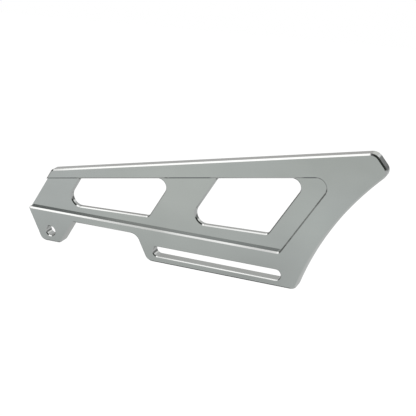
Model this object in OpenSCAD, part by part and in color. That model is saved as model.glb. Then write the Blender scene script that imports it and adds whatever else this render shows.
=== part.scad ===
// Sprocket cover for a motorbike, machined from one thick plate.
// Millimetres, real size. The back face lies on the XZ plane, the bevelled
// front face looks along -Y, X runs along the bottom edge and Z is up. The
// origin is the centre of the mounting hole in the tab, on the back face.
// Slanted edges are placed by the point where they cross the level of that
// hole, and by their angle to the bottom edge.

/* [Plate] */
// Thickness of the plate, front to back
plate_t = 9.5; // [8:0.1:12]
// Bevel along the front edges of the plate and the notch
bevel = 1.4; // [1:0.1:1.8]
// Straight bottom edge, below the mounting hole
bottom_drop = 11.5; // [10.5:0.1:13]
// Top edge straight above the mounting hole
top_rise = 64.4; // [62:0.1:70]
// Slope of the top edge, degrees
top_slope = 10.7; // [9.5:0.1:12]
// Slanted left end, left of the mounting hole at its level
end_reach = 38.7; // [37:0.1:42]
// Angle of the slanted left end, degrees
end_lean = 56; // [54:0.5:58]
// Radius of the corner between the left end and the top edge
crown_r = 5; // [3:0.5:12]

/* [Tab] */
// Left side of the tab, left of the mounting hole
tab_left = 16.2; // [15:0.1:19]
// Angle of the tab's left side, degrees
tab_left_lean = 67; // [64:0.5:70]
// Right side of the tab, right of the mounting hole
tab_right = 18.5; // [17:0.1:22]
// Radius of the tab's two lower corners
tab_r = 7; // [5:0.5:9]
// Radius of the corner between the tab and the left end
toe_r = 3; // [2.8:0.1:5]
// Mounting hole
hole_d = 10.2; // [8.4:0.1:11]
// Bevel round the mounting hole and the slot
hole_bevel = 0.8; // [0.5:0.1:1.4]

/* [Notch between tab and flange] */
// Underside of the strip over the notch, above the mounting hole
strip_rise = 13.8; // [13:0.1:15]
// Radius between the strip and the tab
strip_r = 1.5; // [1:0.1:4]
// Radius between the strip and the flange
notch_r = 10; // [6:0.5:12]

/* [Flange] */
// Left side of the flange, right of the mounting hole
flange_left = 103.7; // [98:0.1:106]
// Angle of the flange's left side, degrees
flange_lean = 66; // [62:0.5:70]
// Radius of the flange's lower left corner
flange_r = 8; // [6:0.5:9]
// Centre of the slot's left end, right of the flange's left side
slot_inset = 16.8; // [15:0.1:22]
// Centre of the slot's right end, left of the bottom right corner
slot_outset = 19.1; // [17:0.1:48]
// Width of the slot
slot_w = 10; // [8:0.1:11]

/* [Right edge and tip] */
// Bottom right corner before it is rounded, right of the hole
foot_x = 259; // [255:0.1:262]
// Radius of the corner between the bottom and the hollow right edge
heel_r = 6.5; // [4:0.5:9]
// Radius of the hollow right edge, which sweeps from there to the tip
arc_r = 292.3; // [240:0.1:400]
// Upper corner of the tip before it is rounded, right of the hole
tip_x = 323.9; // [318:0.1:330]
// Angle of the tip's slanted end, degrees
tip_lean = 51.7; // [49:0.1:54]
// Length of the tip's slanted end before its corners are rounded
tip_len = 20.6; // [18:0.1:24]
// Radius of the tip's upper corner
tip_r = 8.7; // [5:0.1:10]
// Radius of the tip's lower corner
nose_r = 7.5; // [5:0.5:9]

/* [Pocket] */
// Depth of the pocket milled in the front
pocket_d = 4.8; // [3:0.1:6]
// Bevel along the edge of the pocket
pocket_bevel = 1.4; // [0.5:0.1:1.6]
// Lower wall of the pocket, above the mounting hole
pocket_low = 22.2; // [21:0.1:23]
// Upper wall of the pocket straight above the mounting hole
pocket_top = 55; // [52:0.1:56]
// Slope of the pocket's upper wall, degrees
pocket_slope = 8.6; // [8:0.1:9.4]
// Right wall of the pocket, right of the hole at its level
pocket_right = 228.2; // [224:0.1:231]
// Angle of the slanted walls, windows and tab side, degrees
side_lean = 57.3; // [56:0.1:59]
// Radius of the pocket's upper right corner
pocket_r = 8.3; // [5:0.1:10]
// Radius of the pocket's lower right corner
pocket_low_r = 4; // [2:0.5:6]

/* [Windows] */
// Bevel round the windows on the pocket floor
window_bevel = 1; // [0.5:0.1:1.2]
// Lower edge of both windows straight above the mounting hole
window_low = 28.9; // [27.5:0.1:31]
// Slope of the windows' lower edge, degrees
window_slope = 1.7; // [1:0.1:2.2]
// Flat step left between the windows' bevel and the pocket's upper wall
window_step = 0.3; // [0.3:0.1:3]
// Left side of the first window, from the hole at its level
window_1_x = -3.3; // [-6:0.1:0]
// Length of the first window
window_1_len = 91.8; // [80:0.1:96]
// Left side of the second window, from the hole at its level
window_2_x = 128.4; // [124:0.1:132]
// Length of the second window
window_2_len = 78.4; // [70:0.1:82]
// Radius of the windows' pointed lower left corner
window_low_r = 9.8; // [6:0.1:11]
// Radius of the windows' pointed upper right corner
window_high_r = 7.8; // [6:0.1:11]
// Radius of the windows' two blunt corners
window_blunt_r = 5.5; // [2:0.5:7]

/* [Hidden] */
$fn = 96;
// The long hollow edge is drawn with finer segments
arc_fn = 720;
plate_rgb = [0.64, 0.66, 0.65];

// How far cuts run past the plate and past the ends of an edge
over = 1;
// How far trims and bevels stand above the face that they cut
lift = 0.2;
// How far a round stands proud of the edges it blends into, so they cross
seam = 0.001;
// How far the pocket and the notch run out past the open side
run_out = 6;

// An edge is a point and a direction, with the metal on its left
bottom_edge = [[0, -bottom_drop], 0];
tab_right_edge = [[tab_right, 0], side_lean];
strip_edge = [[0, strip_rise], 0];
flange_edge = [[flange_left, 0], -flange_lean];
top_edge = [[0, top_rise], 180 + top_slope];
end_edge = [[-end_reach, 0], 180 + end_lean];
tab_left_edge = [[-tab_left, 0], -tab_left_lean];
tip_corner = [tip_x, top_rise + tip_x * tan(top_slope)];
tip_edge = [tip_corner, 180 - tip_lean];

// The hollow edge runs from the bottom edge to the tip's slanted end
foot_corner = [foot_x, -bottom_drop];
nose_corner = tip_corner + tip_len * dir(-tip_lean);
half_chord = norm(nose_corner - foot_corner) / 2;
arc_centre = (foot_corner + nose_corner) / 2
    + sqrt(arc_r * arc_r - half_chord * half_chord)
    * dir(bearing(foot_corner, nose_corner) - 90);

// Fillet centres of the two corners that meet the hollow edge
heel_start = [flange_left, heel_r - bottom_drop];
heel_centre = heel_start + reach(heel_start, 0, heel_r) * dir(0);
nose_start = tip_corner - nose_r * dir(90 - tip_lean);
nose_centre = nose_start
    + reach(nose_start, -tip_lean, nose_r) * dir(-tip_lean);

function dir(a) = [cos(a), sin(a)];
function bearing(p, q) = atan2(q.y - p.y, q.x - p.x);
function cross2(u, v) = u.x * v.y - u.y * v.x;
// Distance along a line to the hollow edge, swollen by r
function reach(p, a, r) =
    let (b = (p - arc_centre) * dir(a), d = norm(p - arc_centre),
        s = arc_r + r)
    -b - sqrt(b * b - d * d + s * s);
// An edge moved to its right, which is away from the metal
function moved(e, d) = [e[0] + d * dir(e[1] - 90), e[1]];
function turned(e) = [e[0], e[1] + 180];
// Left turn from one edge to the next, 0 to 360 degrees
function turn_of(e, f) = (f[1] - e[1] + 720) % 360;
// Where two edges cross
function meet(e, f) =
    let (k = cross2(f[0] - e[0], dir(f[1])) / cross2(dir(e[1]), dir(f[1])))
    e[0] + k * dir(e[1]);
// Centre of the fillet between two edges
function fillet(e, f, r) = meet(moved(e, -r), moved(f, -r));

// Prism from a to b, of a profile whose x points left of that direction
module along(a, b, profile) {
    translate(a)
        rotate([0, 0, bearing(a, b)])
            rotate([90, 0, 90])
                linear_extrude(norm(b - a))
                    polygon(profile);
}

// Slanted skirt that widens a cut towards its top, on the right of a to b
module skirt(a, b, top, flare) {
    along(a, b, [[over, top - flare - over], [over, top + lift],
        [-flare - lift, top + lift]]);
}

// Upright round body. Its radius grows by grow over the last stretch to the
// top, or shrinks if grow is below 0, and goes on so for past beyond it.
module round_body(r, bottom, top, grow, past) {
    stretch = abs(grow);
    rotate_extrude()
        polygon([[0, bottom], [r, bottom], [r, top - stretch],
            [r + sign(grow) * (stretch + past), top + past],
            [0, top + past]]);
}

// What a corner loses when it is rounded, between the bearing at which its
// first edge touches the round and that bearing plus turn
module corner_trim(c, r, from, turn, top, bottom, grow) {
    reach_r = r + 2 * max(grow, 0) + over;
    far = reach_r / cos(turn / 2);
    translate(c)
        difference() {
            translate([0, 0, bottom - over])
                linear_extrude(top - bottom + over + 2 * lift)
                    polygon([[0, 0], reach_r * dir(from),
                        far * dir(from + turn / 2),
                        reach_r * dir(from + turn)]);
            round_body(r + seam, bottom - 2 * over, top, grow, 3 * lift);
        }
}

// Cut bounded by straight edges, with round corners and a bevelled rim.
// rs[i] is the radius between edges i and i + 1, zero where it is open.
module bevelled_cut(edges, rs, top, bottom, flare) {
    n = len(edges);
    past = flare + lift;
    corners = [for (i = [0:n - 1]) meet(edges[i], edges[(i + 1) % n])];
    difference() {
        union() {
            translate([0, 0, bottom])
                linear_extrude(top + lift - bottom)
                    polygon(corners);
            for (i = [0:n - 1]) {
                run = past * dir(edges[i][1]);
                skirt(corners[(i + n - 1) % n] - run, corners[i] + run,
                    top, flare);
            }
        }
        for (i = [0:n - 1])
            if (rs[i] > 0) {
                f = edges[(i + 1) % n];
                corner_trim(fillet(edges[i], f, rs[i]), rs[i],
                    edges[i][1] - 90, turn_of(edges[i], f),
                    top, bottom, flare);
            }
    }
}

// Fillet between two straight outer edges
module outer_corner(e, f, r) {
    corner_trim(fillet(e, f, r), r, e[1] - 90, turn_of(e, f),
        0, -plate_t, -bevel);
}

// Bevel along a straight outer edge, from a to b with the metal on the left
module edge_bevel(a, b) {
    past = over * (b - a) / norm(b - a);
    along(a - past, b + past, [[bevel + lift, lift], [-over, lift],
        [-over, -bevel - over]]);
}

// The plate before its cuts, with sharp corners
module blank() {
    translate([0, 0, -plate_t])
        linear_extrude(plate_t)
            polygon([meet(end_edge, tab_left_edge),
                meet(tab_left_edge, bottom_edge),
                foot_corner + over * dir(0),
                nose_corner + over * dir(-tip_lean),
                tip_corner,
                meet(top_edge, end_edge)]);
}

// Gap below the strip, between the tab and the flange
module notch() {
    floor_edge = moved(bottom_edge, run_out);
    bevelled_cut([floor_edge, turned(flange_edge), turned(strip_edge),
        turned(tab_right_edge)], [0, notch_r, strip_r, 0],
        0, -plate_t - over, bevel);
}

// Long sweep of the right edge, hollowed by one large circle
module hollow_edge() {
    translate(arc_centre)
        round_body(arc_r, -plate_t - over, 0, bevel, lift, $fn = arc_fn);
}

module outer_corners() {
    outer_corner(top_edge, end_edge, crown_r);
    outer_corner(end_edge, tab_left_edge, toe_r);
    outer_corner(tab_left_edge, bottom_edge, tab_r);
    outer_corner(bottom_edge, tab_right_edge, tab_r);
    outer_corner(flange_edge, bottom_edge, flange_r);
    outer_corner(tip_edge, top_edge, tip_r);
    heel_to = bearing(heel_centre, arc_centre);
    corner_trim(heel_centre, heel_r, -90, heel_to + 90,
        0, -plate_t, -bevel);
    nose_from = bearing(nose_centre, arc_centre);
    corner_trim(nose_centre, nose_r, nose_from, 90 - tip_lean - nose_from,
        0, -plate_t, -bevel);
}

module outer_bevels() {
    edge_bevel(meet(end_edge, tab_left_edge),
        meet(tab_left_edge, bottom_edge));
    edge_bevel(meet(tab_left_edge, bottom_edge),
        [heel_centre.x, -bottom_drop]);
    edge_bevel(nose_centre + nose_r * dir(90 - tip_lean), tip_corner);
    edge_bevel(tip_corner, meet(top_edge, end_edge));
    edge_bevel(meet(top_edge, end_edge), meet(end_edge, tab_left_edge));
}

// Recess open at the left end, whose floor carries the windows
module pocket() {
    bevelled_cut([[[0, pocket_low], 0], [[pocket_right, 0], side_lean],
        [[0, pocket_top], 180 + pocket_slope], moved(end_edge, run_out)],
        [pocket_low_r, pocket_r, 0, 0], 0, -pocket_d, pocket_bevel);
}

module window(x, length) {
    bevelled_cut([[[0, window_low], window_slope],
        [[x + length, 0], side_lean],
        [[0, pocket_top - (window_bevel + window_step) / cos(pocket_slope)],
            180 + pocket_slope],
        [[x, 0], 180 + side_lean]],
        [window_blunt_r, window_high_r, window_blunt_r, window_low_r],
        -pocket_d, -plate_t - over, window_bevel);
}

module mounting_hole() {
    round_body(hole_d / 2, -plate_t - over, 0, hole_bevel, lift);
}

// Long hole that lets the cover slide on its bolt
module slot() {
    r = slot_w / 2;
    near_x = flange_left + slot_inset;
    far_x = foot_x - slot_outset;
    for (x = [near_x, far_x])
        translate([x, 0, 0])
            round_body(r, -plate_t - over, 0, hole_bevel, lift);
    translate([near_x, -r, -plate_t - over])
        cube([far_x - near_x, slot_w, plate_t + over + lift]);
    skirt([near_x, -r], [far_x, -r], 0, hole_bevel);
    skirt([far_x, r], [near_x, r], 0, hole_bevel);
}

// Modelled lying flat with its front at zero height, then stood up
module cover_plate() {
    color(plate_rgb)
        rotate([90, 0, 0]) translate([0, 0, plate_t])
            difference() {
                blank();
                hollow_edge();
                notch();
                outer_corners();
                outer_bevels();
                pocket();
                window(window_1_x, window_1_len);
                window(window_2_x, window_2_len);
                mounting_hole();
                slot();
            }
}

cover_plate();
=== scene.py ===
"""Looks of the sprocket cover, one plate of polished aluminium."""

import math

import bpy
import numpy as np
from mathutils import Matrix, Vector, geometry


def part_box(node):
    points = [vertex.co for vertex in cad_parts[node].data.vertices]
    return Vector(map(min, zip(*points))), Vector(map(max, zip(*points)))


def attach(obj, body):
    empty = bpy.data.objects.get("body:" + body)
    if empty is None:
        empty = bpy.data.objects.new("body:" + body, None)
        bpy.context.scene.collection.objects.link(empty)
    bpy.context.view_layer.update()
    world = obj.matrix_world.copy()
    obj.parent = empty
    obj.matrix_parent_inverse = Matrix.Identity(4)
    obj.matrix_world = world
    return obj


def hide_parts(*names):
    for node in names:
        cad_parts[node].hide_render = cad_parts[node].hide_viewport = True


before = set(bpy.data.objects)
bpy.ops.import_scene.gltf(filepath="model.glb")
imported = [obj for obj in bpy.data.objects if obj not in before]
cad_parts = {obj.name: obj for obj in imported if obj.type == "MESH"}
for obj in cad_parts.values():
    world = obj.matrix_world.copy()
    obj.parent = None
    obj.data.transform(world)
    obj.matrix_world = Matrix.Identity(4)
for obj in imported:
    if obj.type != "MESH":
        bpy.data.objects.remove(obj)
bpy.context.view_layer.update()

# The camera, fitted to the photograph: metres and degrees, in the CAD frame
CAM_PLACE = (0.50834, -0.72293, 0.36080)
CAM_DOWN = 21.317
CAM_TURN = 25.141
FOCAL_PX = 936.5
PHOTO_PX = 416
SENSOR_MM = 36.0
NEAREST_SEEN = 0.01

# The plate's sizes, in mm and degrees. Places in the plate are (x, z) from the
# tab's hole, and depth is from the front. A slanted edge is placed by the
# point where it crosses the level of that hole.
MM_PER_M = 1000
# Digits of a millimetre to which two sizes or places are told apart
DIGITS = 3
cad_low, cad_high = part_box("cover_plate")
PLATE_T = round(MM_PER_M * (cad_high.y - cad_low.y), DIGITS)
BOTTOM = round(MM_PER_M * cad_low.z, DIGITS)

# Bevels, at 45 degrees
BEVEL_TILT = 45
BEVEL = 1.4
POCKET_BEVEL = 1.4
WINDOW_BEVEL = 1.0
HOLE_BEVEL = 0.8

# Top edge and slanted left end
TOP_RISE = 64.4
TOP_SLOPE = 10.7
END_X = -38.7
END_LEAN = 56
CROWN_R = 5

# Tab and its hole
TAB_LEFT = -16.2
TAB_LEFT_LEAN = 67
TAB_RIGHT = 18.5
TAB_R = 7
TOE_R = 3
HOLE_R = 5.1

# Strip over the notch, and its corners with the tab and with the flange
STRIP_RISE = 13.8
STRIP_R = 1.5
NOTCH_R = 10

# Flange and its slot, whose ends are set in from the flange's left side and
# from the foot of the hollow edge
FLANGE_LEFT = 103.7
FLANGE_LEAN = 66
FLANGE_R = 8
SLOT_INSET = 16.8
SLOT_OUTSET = 19.1
SLOT_R = 5.0

# Hollow right edge and tip
FOOT_X = 259.0
HEEL_R = 6.5
HOLLOW_R = 292.3
TIP_X = 323.9
TIP_LEAN = 51.7
TIP_LEN = 20.6
TIP_R = 8.7
NOSE_R = 7.5

# Slant of the tab's right side, the windows' sides and the pocket's right wall
SIDE_LEAN = 57.3

# Pocket
POCKET_D = 4.8
POCKET_LOW = 22.2
POCKET_TOP = 55.0
POCKET_SLOPE = 8.6
POCKET_RIGHT = 228.2
POCKET_R = 8.3
POCKET_LOW_R = 4

# Windows: the left side and the length of each, then what they share
WINDOWS = ((-3.3, 91.8), (128.4, 78.4))
WINDOW_LOW = 28.9
WINDOW_SLOPE = 1.7
WINDOW_STEP = 0.3
WINDOW_LOW_R = 9.8
WINDOW_HIGH_R = 7.8
WINDOW_BLUNT_R = 5.5

# Radii that a polisher leaves on the front edges and on the back ones
EDGE_R = 0.09
BACK_R = 0.15
EDGE_STEPS = 3
# Stretch of the pocket's walls over which their bevel widens to the end's
MOUTH_LEAD = 2.5
# Turn between two points of a corner, and of the long hollow edge, degrees
CORNER_STEP = 3.0
HOLLOW_STEP = 0.8
# Points of an outline that lie closer than this, in mm, are one point
SAME_PLACE = 1e-4
# Slack of the triangulation of the flat faces
FLAT_SLACK = 1e-6

# Kinds of surface, which are the plate's material slots
POLISHED, MILLED = 0, 1


def direction(deg):
    return np.array([math.cos(math.radians(deg)), math.sin(math.radians(deg))])


def left_of(deg):
    return direction(deg + 90)


def edge(x, z, deg):
    """A straight edge through (x, z), run with the metal on its left."""
    return np.array([x, z], float), deg


def meet(e, f, shift_e=0.0, shift_f=0.0):
    """Where two edges cross once each is moved to its left."""
    p = e[0] + shift_e * left_of(e[1])
    q = f[0] + shift_f * left_of(f[1])
    u, v = direction(e[1]), direction(f[1])
    k = ((q - p)[0] * v[1] - (q - p)[1] * v[0]) / (u[0] * v[1] - u[1] * v[0])
    return p + k * u


# An outline is a list of samples: place, offset direction, shading normal
def straight(place, deg):
    return np.array(place, float), left_of(deg), left_of(deg)


def arc(centre, r, side, start, end, step=CORNER_STEP):
    """Points round a corner, from the start to the end direction. side is 1
    where the metal is inside the round and -1 where it is outside."""
    count = max(2, int(math.ceil(abs(end - start) / step)))
    out = []
    for deg in np.linspace(start, end, count + 1):
        out.append(straight(centre - side * r * left_of(deg), deg))
    return out


def corner(e, f, r):
    """Round corner from edge e to edge f."""
    turn = (f[1] - e[1] + 180) % 360 - 180
    side = 1 if turn > 0 else -1
    centre = meet(e, f, side * r, side * r)
    return arc(centre, r, side, e[1], e[1] + turn)


def mouth(end, wall):
    """Sharp corner of the plate's end and a wall of the pocket: the sample
    of each, set so that their two bevels meet."""
    n, m = left_of(end[1]), left_of(wall[1])
    c, share = n @ m, POCKET_BEVEL / BEVEL
    offset = ((1 - c * share) * n + (share - c) * m) / (1 - c * c)
    place = meet(end, wall)
    return (place, offset, n), (place, offset, m)


def circle(centre, r):
    """A round hole, with the metal outside."""
    return arc(np.array(centre, float), r, -1, 360, 0)[:-1]


def slot_outline():
    left, right = FLANGE_LEFT + SLOT_INSET, FOOT_X - SLOT_OUTSET
    return (arc(np.array([left, 0.0]), SLOT_R, -1, -180, -360)
            + arc(np.array([right, 0.0]), SLOT_R, -1, 0, -180))


def window_outline(x, length):
    gap = WINDOW_BEVEL + WINDOW_STEP
    top = POCKET_TOP - gap / direction(POCKET_SLOPE)[0]
    low = edge(0, WINDOW_LOW, 180 + WINDOW_SLOPE)
    left = edge(x, 0, SIDE_LEAN)
    high = edge(0, top, POCKET_SLOPE)
    right = edge(x + length, 0, SIDE_LEAN - 180)
    return (corner(low, left, WINDOW_LOW_R)
            + corner(left, high, WINDOW_BLUNT_R)
            + corner(high, right, WINDOW_HIGH_R)
            + corner(right, low, WINDOW_BLUNT_R))


def hollow_part(e_bottom, e_tip):
    """Heel, hollow right edge and nose, from the bottom to the tip."""
    foot = np.array([FOOT_X, BOTTOM])
    nose = tip_corner() - TIP_LEN * direction(e_tip[1])
    chord = nose - foot
    half = np.linalg.norm(chord) / 2
    run = math.degrees(math.atan2(chord[1], chord[0]))
    centre = ((foot + nose) / 2
              + math.sqrt(HOLLOW_R ** 2 - half ** 2) * direction(run - 90))
    ends = []
    for e, r in ((e_bottom, HEEL_R), (e_tip, NOSE_R)):
        p = e[0] + r * left_of(e[1]) - centre
        u = direction(e[1])
        b = p @ u
        # The bottom edge comes to the hollow, the tip's end runs from it
        root = math.sqrt(b * b - p @ p + (HOLLOW_R + r) ** 2)
        k = -b - root if e is e_bottom else -b + root
        c = centre + p + k * u
        away = c - centre
        ends.append((c, r, math.degrees(math.atan2(away[1], away[0])) - 90))
    heel, nose = ends
    return (arc(heel[0], heel[1], 1, e_bottom[1], heel[2])
            + arc(centre, HOLLOW_R, -1, heel[2], nose[2], HOLLOW_STEP)
            + arc(nose[0], nose[1], 1, nose[2], e_tip[1]))


def tip_corner():
    rise = TOP_RISE + TIP_X * math.tan(math.radians(TOP_SLOPE))
    return np.array([TIP_X, rise])


def front_outline():
    """Outline of the front face, which runs in and out of the pocket at the
    left end: its part round the plate and its part in the pocket."""
    bottom = edge(0, BOTTOM, 0)
    tab_left = edge(TAB_LEFT, 0, -TAB_LEFT_LEAN)
    tab_right = edge(TAB_RIGHT, 0, SIDE_LEAN)
    strip = edge(0, STRIP_RISE, 0)
    flange = edge(FLANGE_LEFT, 0, -FLANGE_LEAN)
    tip = edge(*tip_corner(), 180 - TIP_LEAN)
    top = edge(0, TOP_RISE, 180 + TOP_SLOPE)
    end = edge(END_X, 0, 180 + END_LEAN)
    pocket_high = edge(0, POCKET_TOP, POCKET_SLOPE)
    pocket_right = edge(POCKET_RIGHT, 0, SIDE_LEAN - 180)
    pocket_low = edge(0, POCKET_LOW, 180)
    low_end, low_wall = mouth(end, pocket_low)
    high_end, high_wall = mouth(end, pocket_high)
    outer = ([low_end] + corner(end, tab_left, TOE_R)
             + corner(tab_left, bottom, TAB_R)
             + corner(bottom, tab_right, TAB_R)
             + corner(tab_right, strip, STRIP_R)
             + corner(strip, flange, NOTCH_R)
             + corner(flange, bottom, FLANGE_R) + hollow_part(bottom, tip)
             + corner(tip, top, TIP_R) + corner(top, end, CROWN_R)
             + [high_end])
    inside = MOUTH_LEAD * direction(POCKET_SLOPE)
    pocket = ([high_wall, straight(high_wall[0] + inside, POCKET_SLOPE)]
              + corner(pocket_high, pocket_right, POCKET_R)
              + corner(pocket_right, pocket_low, POCKET_LOW_R)
              + [straight(low_wall[0] + (MOUTH_LEAD, 0), 180), low_wall])
    return outer, pocket


def profile(bevel, top, end):
    """Section across an edge, from the face at depth top down to end: each
    row is offset into the metal, depth, and the normal's tilt to the front.
    A tilt of 90 faces front and 0 faces out of the edge."""
    tangent = EDGE_R * math.tan(math.radians(BEVEL_TILT / 2))
    rows = []
    for offset, depth, high in ((bevel + tangent, top + EDGE_R, 90),
                                (EDGE_R, top + bevel + tangent, BEVEL_TILT)):
        for i in range(EDGE_STEPS + 1):
            tilt = high - BEVEL_TILT * i / EDGE_STEPS
            c, s = direction(tilt)
            rows.append((offset - EDGE_R * c, depth - EDGE_R * s, tilt))
    rows.append((0.0, end, 0.0))
    return rows


def back_profile(top):
    """Section of the wall from depth top to the rounded back edge."""
    rows = [(0.0, top, 0.0)]
    for i in range(EDGE_STEPS + 2):
        tilt = -90 * i / (EDGE_STEPS + 1)
        c, s = direction(tilt)
        rows.append((BACK_R - BACK_R * c, PLATE_T - BACK_R - BACK_R * s, tilt))
    return rows


def apart(p, q):
    return np.linalg.norm(p - q) > SAME_PLACE


def odd_crossings(place, sides):
    """Whether a ray to +X from the place crosses an odd number of sides."""
    x0, z0 = sides[:, 0, 0] - place[0], sides[:, 0, 1] - place[1]
    x1, z1 = sides[:, 1, 0] - place[0], sides[:, 1, 1] - place[1]
    spans = (z0 > 0) != (z1 > 0)
    rise = np.where(spans, z1 - z0, 1.0)
    return np.count_nonzero(spans & (x0 - z0 * (x1 - x0) / rise > 0)) % 2 == 1


class Builder:
    """Collects the faces of one mesh with an exact normal at each corner."""

    def __init__(self):
        self.index, self.points = {}, []
        self.faces, self.normals, self.kinds = [], [], []

    def vertex(self, place, depth):
        p = (place[0], depth - PLATE_T, place[1])
        key = tuple(round(v, DIGITS) for v in p)
        if key not in self.index:
            self.index[key] = len(self.points)
            self.points.append(tuple(v / MM_PER_M for v in p))
        return self.index[key]

    def face(self, corners, kind):
        """corners: (vertex, normal), run so that the normal looks out."""
        seen = [c for i, c in enumerate(corners) if c[0] != corners[i - 1][0]]
        if len(seen) > 2:
            self.faces.append([c[0] for c in seen])
            self.normals.extend(c[1] for c in seen)
            self.kinds.append(kind)

    def corner_of(self, sample, row):
        (place, shift, out), (offset, depth, tilt) = sample, row
        c, f = direction(tilt)
        normal = (-out[0] * c, -f, -out[1] * c)
        return self.vertex(place + offset * shift, depth), normal

    def wall(self, outline, sections):
        """Skin along a closed outline, with a section for each sample."""
        for i in range(len(outline)):
            a, b, rows_a, rows_b = (outline[i - 1], outline[i],
                                    sections[i - 1], sections[i])
            for j in range(len(rows_a) - 1):
                flat = rows_a[j][2] == 0 and rows_a[j + 1][2] == 0
                self.face([self.corner_of(a, rows_a[j]),
                           self.corner_of(a, rows_a[j + 1]),
                           self.corner_of(b, rows_b[j + 1]),
                           self.corner_of(b, rows_b[j])],
                          MILLED if flat else POLISHED)

    def flat(self, loops, depth, facing):
        """Flat face at a depth inside the first loop and outside the rest."""
        points, edges = [], []
        for loop in loops:
            start = len(points)
            for p in loop:
                if len(points) == start or apart(p, points[-1]):
                    points.append(p)
            if not apart(points[-1], points[start]):
                points.pop()
            ends = list(range(start, len(points)))
            edges += list(zip(ends, ends[1:] + ends[:1]))
        found = geometry.delaunay_2d_cdt(
            [Vector(p) for p in points], edges, [], 1, FLAT_SLACK)
        sides = np.array([(points[i], points[j]) for i, j in edges])
        normal = (0.0, -facing, 0.0)
        for face in found[2]:
            if odd_crossings(sum((found[0][i] for i in face), Vector((0, 0)))
                             / len(face), sides):
                ids = [self.vertex(found[0][i], depth) for i in face]
                corners = [(i, normal) for i in ids]
                self.face(corners[::facing], POLISHED)

    def mesh(self, name):
        mesh = bpy.data.meshes.new(name)
        mesh.from_pydata(self.points, [], self.faces)
        mesh.polygons.foreach_set("material_index", self.kinds)
        mesh.polygons.foreach_set("use_smooth", [True] * len(self.faces))
        mesh.normals_split_custom_set(self.normals)
        mesh.validate()
        mesh.update()
        return mesh


def shifted(outline, sections, row=0):
    """Places of an outline at one row of its sections."""
    return [p + rows[row][0] * shift
            for (p, shift, _), rows in zip(outline, sections)]


def plate_mesh():
    outer, pocket = front_outline()
    windows = [window_outline(x, length) for x, length in WINDOWS]
    holes = [circle((0, 0), HOLE_R), slot_outline()]
    # The whole section of each kind of edge, from its face to the back
    back = back_profile(POCKET_D)
    plate_rows = profile(BEVEL, 0.0, POCKET_D)
    pocket_rows = profile(POCKET_BEVEL, 0.0, POCKET_D)
    hole_rows = profile(HOLE_BEVEL, 0.0, POCKET_D) + back[1:]
    window_rows = profile(WINDOW_BEVEL, POCKET_D, PLATE_T - BACK_R) + back[2:]

    front = outer + pocket
    inner = [pocket_rows] * (len(pocket) - 2)
    sections = [plate_rows] * (len(outer) + 1) + inner + [plate_rows]
    # Below the pocket's floor the left end runs straight through its mouth
    n = outer[0][2]
    rim = [(outer[0][0], n, n)] + outer[1:-1] + [(outer[-1][0], n, n)]

    b = Builder()
    b.wall(front, sections)
    b.wall(rim, [back] * len(rim))
    for group, rows in ((windows, window_rows), (holes, hole_rows)):
        for outline in group:
            b.wall(outline, [rows] * len(outline))
    holes_in = [(h, [hole_rows] * len(h)) for h in holes]
    windows_in = [(w, [window_rows] * len(w)) for w in windows]
    b.flat([shifted(front, sections)] + [shifted(*h) for h in holes_in],
           0.0, 1)
    b.flat([shifted(pocket, sections, -1)]
           + [shifted(*w) for w in windows_in], POCKET_D, 1)
    b.flat([shifted(rim, [back] * len(rim), -1)]
           + [shifted(*h, -1) for h in holes_in + windows_in], PLATE_T, -1)
    return b.mesh("cover")


# Materials: bare aluminium between two tones, with cloudy haze and fine marks,
# whose depth is in metres
DARK_TONE = (0.635, 0.64, 0.63)
LIGHT_TONE = (0.675, 0.68, 0.67)
HAZE_STRETCH = (1, 1, 1.6)
HAZE_SCALE = 22
HAZE_DETAIL = 3
MARK_SCALE = 900
MARK_DETAIL = 4
MARK_DEPTH = 0.00002
# Most of a noise's values lie in this range
NOISE_RANGE = (0.3, 0.7)
# The floor's own tone, and the light that it adds to it, where it is seen, to
# show as white
FLOOR_TONE = (0.85, 0.85, 0.85)
FLOOR_GLOW = 0.2


def nodes_of(material):
    material.use_nodes = True
    tree = material.node_tree
    return tree.nodes, tree.links


def streaks(nodes, links, stretch, scale, detail):
    """Noise, drawn out along the axes whose stretch is below 1."""
    place = nodes.new("ShaderNodeTexCoord")
    scaling = nodes.new("ShaderNodeMapping")
    scaling.inputs["Scale"].default_value = stretch
    noise = nodes.new("ShaderNodeTexNoise")
    noise.inputs["Scale"].default_value = scale
    noise.inputs["Detail"].default_value = detail
    links.new(place.outputs["Object"], scaling.inputs["Vector"])
    links.new(scaling.outputs["Vector"], noise.inputs["Vector"])
    return noise.outputs["Fac"]


def spread(nodes, links, source, low, high):
    """Maps a noise's range to low and high."""
    node = nodes.new("ShaderNodeMapRange")
    node.inputs["From Min"].default_value = NOISE_RANGE[0]
    node.inputs["From Max"].default_value = NOISE_RANGE[1]
    node.inputs["To Min"].default_value = low
    node.inputs["To Max"].default_value = high
    links.new(source, node.inputs["Value"])
    return node.outputs["Result"]


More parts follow.
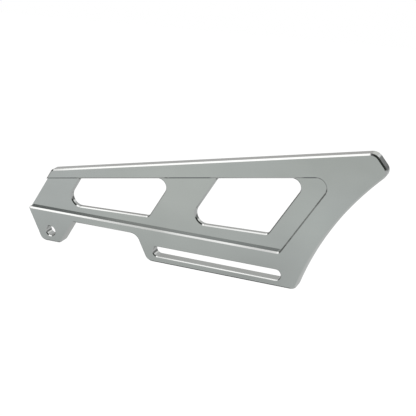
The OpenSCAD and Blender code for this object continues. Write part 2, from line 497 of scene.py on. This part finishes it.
def metal(name, rough_low, rough_high, rough_marks, marks_run, bump):
    """Bare metal: cloudy haze in its colour and roughness, which goes from
    rough_low to rough_high, and fine marks drawn out as marks_run says, with
    their own roughness and bump."""
    material = bpy.data.materials.new(name)
    nodes, links = nodes_of(material)
    shader = nodes["Principled BSDF"]
    shader.inputs["Metallic"].default_value = 1.0
    haze = streaks(nodes, links, HAZE_STRETCH, HAZE_SCALE, HAZE_DETAIL)
    tint = nodes.new("ShaderNodeMix")
    tint.data_type = "RGBA"
    tint.inputs[6].default_value = (*DARK_TONE, 1)
    tint.inputs[7].default_value = (*LIGHT_TONE, 1)
    links.new(spread(nodes, links, haze, 0, 1), tint.inputs[0])
    links.new(tint.outputs[2], shader.inputs["Base Color"])
    lines = streaks(nodes, links, marks_run, MARK_SCALE, MARK_DETAIL)
    gloss = nodes.new("ShaderNodeMath")
    gloss.operation = "ADD"
    links.new(spread(nodes, links, haze, rough_low, rough_high),
              gloss.inputs[0])
    links.new(spread(nodes, links, lines, -rough_marks, rough_marks),
              gloss.inputs[1])
    links.new(gloss.outputs[0], shader.inputs["Roughness"])
    relief = nodes.new("ShaderNodeBump")
    relief.inputs["Strength"].default_value = bump
    relief.inputs["Distance"].default_value = MARK_DEPTH
    links.new(lines, relief.inputs["Height"])
    links.new(relief.outputs["Normal"], shader.inputs["Normal"])
    return material


def floor_material():
    """Pale floor, shown as plain white to the camera and in gloss."""
    material = bpy.data.materials.new("pale_floor")
    nodes, links = nodes_of(material)
    shader = nodes["Principled BSDF"]
    shader.inputs["Base Color"].default_value = (*FLOOR_TONE, 1)
    shader.inputs["Roughness"].default_value = 1.0
    shader.inputs["Specular IOR Level"].default_value = 0.0
    shader.inputs["Emission Color"].default_value = (1, 1, 1, 1)
    rays = nodes.new("ShaderNodeLightPath")
    shown = rays.outputs["Is Camera Ray"]
    for name in ("Is Glossy Ray", "Is Transmission Ray"):
        add = nodes.new("ShaderNodeMath")
        add.operation = "ADD"
        add.use_clamp = True
        links.new(shown, add.inputs[0])
        links.new(rays.outputs[name], add.inputs[1])
        shown = add.outputs[0]
    scale = nodes.new("ShaderNodeMath")
    scale.operation = "MULTIPLY"
    scale.inputs[1].default_value = FLOOR_GLOW
    links.new(shown, scale.inputs[0])
    links.new(scale.outputs[0], shader.inputs["Emission Strength"])
    return material


# The studio. The metal reflects a soft grey tent round the object, which has
# lit and dark panels. Light and dark places on the plate come from them.
# Places and lengths here are in metres.
MIDDLE = (0.155, -0.005, 0.055)
TENT_R = 1.3
TENT_TONE = (0.55, 0.56, 0.56)
FLOOR_LEVEL = -1.45
FLOOR_HALF = 8.0
WORLD_LIGHT = 1.0
# Each panel: middle and half size in azimuth and elevation, and soft rim, in
# degrees, then its brightness, where 1 is white. Azimuth is from +X towards
# +Y. Later panels lie over earlier ones. They were placed one by one. About
# half of the brightnesses were solved against the photograph and then rounded,
# and the others were set one by one.
PANELS = [
    # What the front's faces show: a pale card with faint lighter and darker
    # patches
    (-112, -20, 42, 24, 12, (0.55, 0.58, 0.575)),
    (-115, -20.5, 12, 2.5, 5, (0.605, 0.64, 0.615)),
    (-114, -25.5, 10, 2.5, 5, (0.55, 0.58, 0.57)),
    (-119.5, -26.3, 4.5, 3, 3, (0.505, 0.535, 0.525)),
    (-106, -28.7, 6, 1.2, 2.5, (0.525, 0.555, 0.545)),
    (-117, -35, 11, 6, 6, (0.32, 0.33, 0.33)),
    (-101, -16.6, 5.5, 2.2, 2, (0.53, 0.56, 0.54)),
    (-117, -17, 3, 8, 10, (0.605, 0.635, 0.615)),
    (-132, -26.2, 4, 3.5, 3, (0.46, 0.485, 0.48)),
    (-131, -18.5, 5, 2.5, 4, (0.585, 0.615, 0.61)),
    (-102, -22.5, 2, 2, 3, (0.61, 0.65, 0.635)),
    (-119, -20, 1.5, 1.5, 3, (0.63, 0.66, 0.64)),
    (-145, -45, 12, 12, 10, (0.42, 0.45, 0.44)),
    # Cards behind, for the top and for the openings' lower edges
    (118, 8, 20, 6, 6, (0.51, 0.51, 0.505)),
    (116, 17, 20, 3.5, 6, (0.50, 0.49, 0.48)),
    (112, 24, 20, 4, 5, (0.52, 0.53, 0.52)),
    (85, 24, 11, 5, 8, (0.76, 0.77, 0.74)),
    # Dim cards in front, for the pocket's lower wall
    (-140, 17, 12, 9, 10, (0.10, 0.12, 0.11)),
    (-131, 20, 4.5, 4, 4, (0.26, 0.28, 0.28)),
    (-122, 20.5, 3.5, 4, 4, (0.42, 0.44, 0.43)),
    (-112, 21, 6, 9, 12, (0.48, 0.515, 0.51)),
    (-106, 25, 4, 3, 6, (0.25, 0.27, 0.27)),
    (-94, 22, 8, 9, 8, (0.20, 0.24, 0.21)),
    # Flags at the front right and overhead
    (-50, 38, 42, 34, 10, (0.04, 0.045, 0.04)),
    (-108, 78, 60, 9, 5, (0.10, 0.10, 0.10)),
    # Soft box above the front left, the dark beside it and dimmer patches
    (-136, 52, 43, 15.5, 3, (1.6, 1.6, 1.59)),
    (180.5, 40, 12, 20, 3, (0.08, 0.08, 0.08)),
    (-144.8, 47.6, 2.8, 1.9, 2, (0.90, 0.90, 0.90)),
    (-143.9, 50, 1.9, 3, 3, (0.88, 0.88, 0.88)),
    (-140.3, 51.5, 3.2, 3.5, 3, (0.78, 0.79, 0.78)),
    (-134.5, 55.5, 4, 3, 3, (1.20, 1.20, 1.20)),
    (-125.3, 60, 4, 3, 3, (0.82, 0.82, 0.82)),
    # Cards on the right and behind
    (46, 1, 19, 13, 6, (0.20, 0.205, 0.205)),
    (63, 24, 8, 8, 6, (0.92, 0.93, 0.92)),
    (78, -39, 9, 4, 4, (0.38, 0.39, 0.385)),
    (107, -41, 6, 4, 4, (0.50, 0.51, 0.50)),
    (130, 28, 8, 9, 8, (0.30, 0.30, 0.30)),
    # Dark card on the left, with a lighter one in it
    (182, 2, 17, 24, 8, (0.16, 0.165, 0.16)),
    (168, -3, 5, 7, 6, (0.39, 0.395, 0.39)),
    # Cards and flags below
    (162, -58, 17, 12, 8, (0.41, 0.41, 0.415)),
    (144, -50, 3, 3, 4, (0.70, 0.71, 0.70)),
    (212, -62, 18, 10, 8, (0.215, 0.23, 0.24)),
    (128, -56, 14, 9, 6, (0.01, 0.01, 0.01)),
    (139, -34, 5, 14, 6, (0.16, 0.18, 0.18)),
    (157, -46.5, 7.5, 5, 2, (0.02, 0.02, 0.02)),
    (160, -58, 4.5, 8, 3, (0.05, 0.05, 0.05)),
    (-113, -74, 10, 8, 8, (0.21, 0.22, 0.23)),
    (-3, -53, 14, 9, 8, (0.645, 0.66, 0.655)),
]
# Degrees between two points of the tent
TENT_STEP = 2


def cover_of(distance, half, soft):
    return np.clip((half - np.abs(distance)) / soft + 0.5, 0, 1)


def tent_tones(az, el):
    """Brightness of the tent in each direction."""
    tones = np.tile(np.array(TENT_TONE), (len(az), 1))
    for az_mid, el_mid, az_half, el_half, soft, light in PANELS:
        turn = (az - az_mid + 180) % 360 - 180
        cover = (cover_of(turn, az_half, soft)
                 * cover_of(el - el_mid, el_half, soft))[:, None]
        tones = tones * (1 - cover) + np.array(light) * cover
    return tones


def tent_material():
    material = bpy.data.materials.new("tent")
    nodes, links = nodes_of(material)
    nodes.remove(nodes["Principled BSDF"])
    tone = nodes.new("ShaderNodeAttribute")
    tone.attribute_name = "tone"
    glow = nodes.new("ShaderNodeEmission")
    links.new(tone.outputs["Color"], glow.inputs["Color"])
    links.new(glow.outputs[0], nodes["Material Output"].inputs["Surface"])
    return material


def add_object(name, mesh, material):
    mesh.materials.append(material)
    obj = bpy.data.objects.new(name, mesh)
    bpy.context.scene.collection.objects.link(obj)
    return obj


def make_tent():
    """The tent is seen by what is glossy alone."""
    az, el = np.meshgrid(np.arange(-180, 180, TENT_STEP),
                         np.arange(-90, 91, TENT_STEP))
    columns, rows = az.shape[1], az.shape[0]
    az, el = az.ravel().astype(float), el.ravel().astype(float)
    a, e = np.radians(az), np.radians(el)
    rays = np.stack([np.cos(e) * np.cos(a), np.cos(e) * np.sin(a),
                     np.sin(e)], 1)
    points = np.array(MIDDLE) + TENT_R * rays
    faces = []
    for j in range(rows - 1):
        for i in range(columns):
            k, m = j * columns + i, j * columns + (i + 1) % columns
            faces.append((k, m, m + columns, k + columns))
    mesh = bpy.data.meshes.new("tent")
    mesh.from_pydata(points.tolist(), [], faces)
    mesh.attributes.new("tone", "FLOAT_COLOR", "POINT")
    colours = np.ones((len(az), 4), np.float32)
    colours[:, :3] = tent_tones(az, el)
    mesh.attributes["tone"].data.foreach_set("color", colours.ravel())
    tent = add_object("tent", mesh, tent_material())
    tent.visible_camera = False
    tent.visible_diffuse = False
    tent.visible_shadow = False
    tent.visible_transmission = False


def make_floor():
    r = FLOOR_HALF
    corners = [(-r, -r, 0), (r, -r, 0), (r, r, 0), (-r, r, 0)]
    mesh = bpy.data.meshes.new("floor")
    mesh.from_pydata(corners, [], [(0, 1, 2, 3)])
    floor = add_object("floor", mesh, floor_material())
    floor.location.z = FLOOR_LEVEL


def make_world():
    world = bpy.data.worlds.new("studio")
    bpy.context.scene.world = world
    world.use_nodes = True
    back = world.node_tree.nodes["Background"]
    back.inputs["Color"].default_value = (1, 1, 1, 1)
    back.inputs["Strength"].default_value = WORLD_LIGHT


def make_camera():
    data = bpy.data.cameras.new("camera")
    data.sensor_width = SENSOR_MM
    data.lens = FOCAL_PX / PHOTO_PX * SENSOR_MM
    data.clip_start = NEAREST_SEEN
    camera = bpy.data.objects.new("camera", data)
    camera.location = CAM_PLACE
    camera.rotation_euler = (math.radians(90 - CAM_DOWN), 0,
                             math.radians(CAM_TURN))
    bpy.context.scene.collection.objects.link(camera)
    bpy.context.scene.camera = camera


def make_cover():
    """The polish runs along the plate, and the cutter's marks through it."""
    polished = metal("polished_aluminium", rough_low=0.07, rough_high=0.11,
                     rough_marks=0.02, marks_run=(0.03, 1, 1), bump=0.06)
    milled = metal("milled_aluminium", rough_low=0.09, rough_high=0.15,
                   rough_marks=0.03, marks_run=(1, 0.02, 1), bump=0.1)
    cover = add_object("cover", plate_mesh(), polished)
    cover.data.materials.append(milled)
    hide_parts("cover_plate")
    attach(cover, "root")


bpy.context.scene.view_settings.view_transform = "Standard"
make_camera()
make_world()
make_floor()
make_tent()
make_cover()
